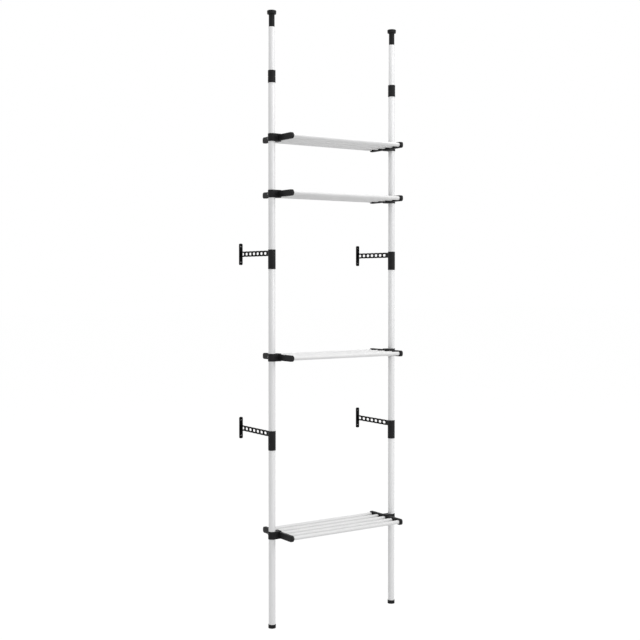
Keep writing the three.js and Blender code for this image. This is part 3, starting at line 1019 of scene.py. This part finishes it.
for shelf in SHELVES:
    nodes = [f"{shelf}_rod_{index + 1}" for index in range(ROD_COUNT)]
    start = (0, POLE_Y + rod_y(0) * MM, middle_height(nodes[0]) * MM)
    values = {"Count": ROD_COUNT, "Start": start, "Step": (0, ROD_PITCH * MM, 0), "Finish": COAT}
    rods = grown(ROW_TREE, rod_shape(), values)
    finished(f"{shelf}_rods_finished", rods, COAT, shelf, *nodes)
print("rods:", len(SHELVES) * ROD_COUNT)

# %% Make the clamp screws
SCREW_TIP = TUBE_R + SEAT_GAP
SCREW_HEAD = BOSS_END + SEAT_GAP
SCREW_HEAD_R = 4.0
SCREW_HEAD_LENGTH = 4.0
SCREW_END = SCREW_HEAD + SCREW_HEAD_LENGTH
HEX_R = 1.8
HEX_DEPTH = 2.4
HEX_FLOOR = SCREW_END - HEX_DEPTH
SCREW_EDGE = 0.35


def screw_shape():
    profile = [(0, SCREW_TIP), (SCREW_R, SCREW_TIP), (SCREW_R, SCREW_HEAD)]
    profile += [(SCREW_HEAD_R, SCREW_HEAD), (SCREW_HEAD_R, SCREW_END)]
    profile += [(HEX_R, SCREW_END), (HEX_R, HEX_FLOOR), (0, HEX_FLOOR)]
    return as_mesh("clamp_screw", laid(turned(profile, SCREW_EDGE, steps=36), ALONG_Y))


for shelf in SHELVES:
    nodes = [f"{shelf}_{side}_clamp_screw" for side in SIDES]
    start = on_pole("left", middle_height(nodes[0]))
    values = {"Count": len(SIDES), "Start": start, "Step": (2 * POLE_X, 0, 0), "Finish": ZINC}
    screws = grown(ROW_TREE, screw_shape(), values)
    finished(f"{shelf}_clamp_screws_finished", screws, ZINC, shelf, *nodes)
print("clamp screws:", len(SHELVES) * len(SIDES))

# %% [markdown]
# ## Floor and light
# The photograph has a plain white ground. A pale floor and a white world give it: seen by the
# camera or in a reflection they are white, while the lamps and a dimmer, even sky light the
# object. A broad lamp in front on the right and one overhead leave the poles' left flanks a shade
# darker.

# %% The white ground
SKY_STRENGTH = 0.53
FLOOR_GREY = 0.68
FLOOR_GLOW = 1.11
FLOOR_GLOW_SHARE = 0.85
FLOOR_REACH = 40


def white_where_seen(tree, lit, white, share):
    ray = tree.nodes.new("ShaderNodeLightPath").outputs
    direct, glossy = ray["Is Camera Ray"], ray["Is Glossy Ray"]
    seen = fed(tree, "ShaderNodeMath", direct, glossy, operation="MAXIMUM")
    seen = fed(tree, "ShaderNodeMath", seen, ray["Is Transmission Ray"], operation="MAXIMUM")
    mixed = fed(tree, "ShaderNodeMath", seen, share, operation="MULTIPLY")
    return fed(tree, "ShaderNodeMixShader", mixed, lit, white)


def plain_light(tree, kind, strength):
    light = tree.nodes.new(kind)
    light.inputs["Color"].default_value = grey(1.0)
    light.inputs["Strength"].default_value = strength
    return light.outputs[0]


world = bpy.data.worlds.new("white_room")
bpy.context.scene.world = world
world.use_nodes = True
tree = world.node_tree
tree.nodes.clear()
sky = plain_light(tree, "ShaderNodeBackground", SKY_STRENGTH)
white = plain_light(tree, "ShaderNodeBackground", 1.0)
out = tree.nodes.new("ShaderNodeOutputWorld")
tree.links.new(white_where_seen(tree, sky, white, 1.0), out.inputs["Surface"])

floor_finish = bpy.data.materials.new("pale_floor")
floor_finish.use_nodes = True
tree = floor_finish.node_tree
tree.nodes.clear()
matt = tree.nodes.new("ShaderNodeBsdfDiffuse")
matt.inputs["Color"].default_value = grey(FLOOR_GREY)
glow = plain_light(tree, "ShaderNodeEmission", FLOOR_GLOW)
out = tree.nodes.new("ShaderNodeOutputMaterial")
floor_look = white_where_seen(tree, matt.outputs[0], glow, FLOOR_GLOW_SHARE)
tree.links.new(floor_look, out.inputs["Surface"])

ground = bpy.data.meshes.new("floor")
corners = [(x * FLOOR_REACH, y * FLOOR_REACH, 0) for x, y in ((-1, -1), (1, -1), (1, 1), (-1, 1))]
ground.from_pydata(corners, [], [(0, 1, 2, 3)])
ground.materials.append(floor_finish)
floor = bpy.data.objects.new("floor", ground)
bpy.context.scene.collection.objects.link(floor)
print("white ground ready")

# %% The lamps
LAMP_TARGET = Vector((0, 0, 1.2))


def lamp(name, place, size, power):
    light = bpy.data.lights.new(name, "AREA")
    light.shape = "SQUARE"
    light.size = size
    light.energy = power
    holder = bpy.data.objects.new(name, light)
    bpy.context.scene.collection.objects.link(holder)
    holder.location = place
    aim = LAMP_TARGET - Vector(place)
    holder.rotation_euler = aim.to_track_quat("-Z", "Y").to_euler()


lamp("broad_right", place=(1.9, -4.8, 2.8), size=3.4, power=75)
lamp("overhead", place=(0.1, -0.4, 5.2), size=2.4, power=90)
print("lamps:", len(bpy.data.lights))

# %% [markdown]
# ## The camera
# The photograph was taken at eye level, from the front and left. The place and the lens come from
# a fit of the model's edges to the picture. A tilt makes upright poles lean together, and a shift
# of the lens doesn't. Here each lowers the frame by half of what it needs: the poles stay upright
# to within half a pixel, and a view from another side still takes in nearly the whole height.

# %% Set the camera
IMAGE_WIDTH = 640
SENSOR = 36.0
CAMERA_PLACE = (-2.6500, -3.8628, 1.4144)
HEADING = 34.2261
TILT = 0.9407
FOCAL_PIXELS = 1100.46
LENS_SHIFT_ROWS = -22
FARTHEST_SEEN = 200

camera = bpy.data.objects.new("camera", bpy.data.cameras.new("camera"))
bpy.context.scene.collection.objects.link(camera)
camera.location = CAMERA_PLACE
camera.rotation_euler = (radians(90 - TILT), 0, -radians(HEADING))
camera.data.sensor_fit = "HORIZONTAL"
camera.data.sensor_width = SENSOR
camera.data.lens = FOCAL_PIXELS * SENSOR / IMAGE_WIDTH
camera.data.shift_y = LENS_SHIFT_ROWS / IMAGE_WIDTH
camera.data.clip_end = FARTHEST_SEEN
bpy.context.scene.camera = camera
bpy.context.scene.view_settings.view_transform = "Standard"
print("lens %.2f mm, shift %.4f" % (camera.data.lens, camera.data.shift_y))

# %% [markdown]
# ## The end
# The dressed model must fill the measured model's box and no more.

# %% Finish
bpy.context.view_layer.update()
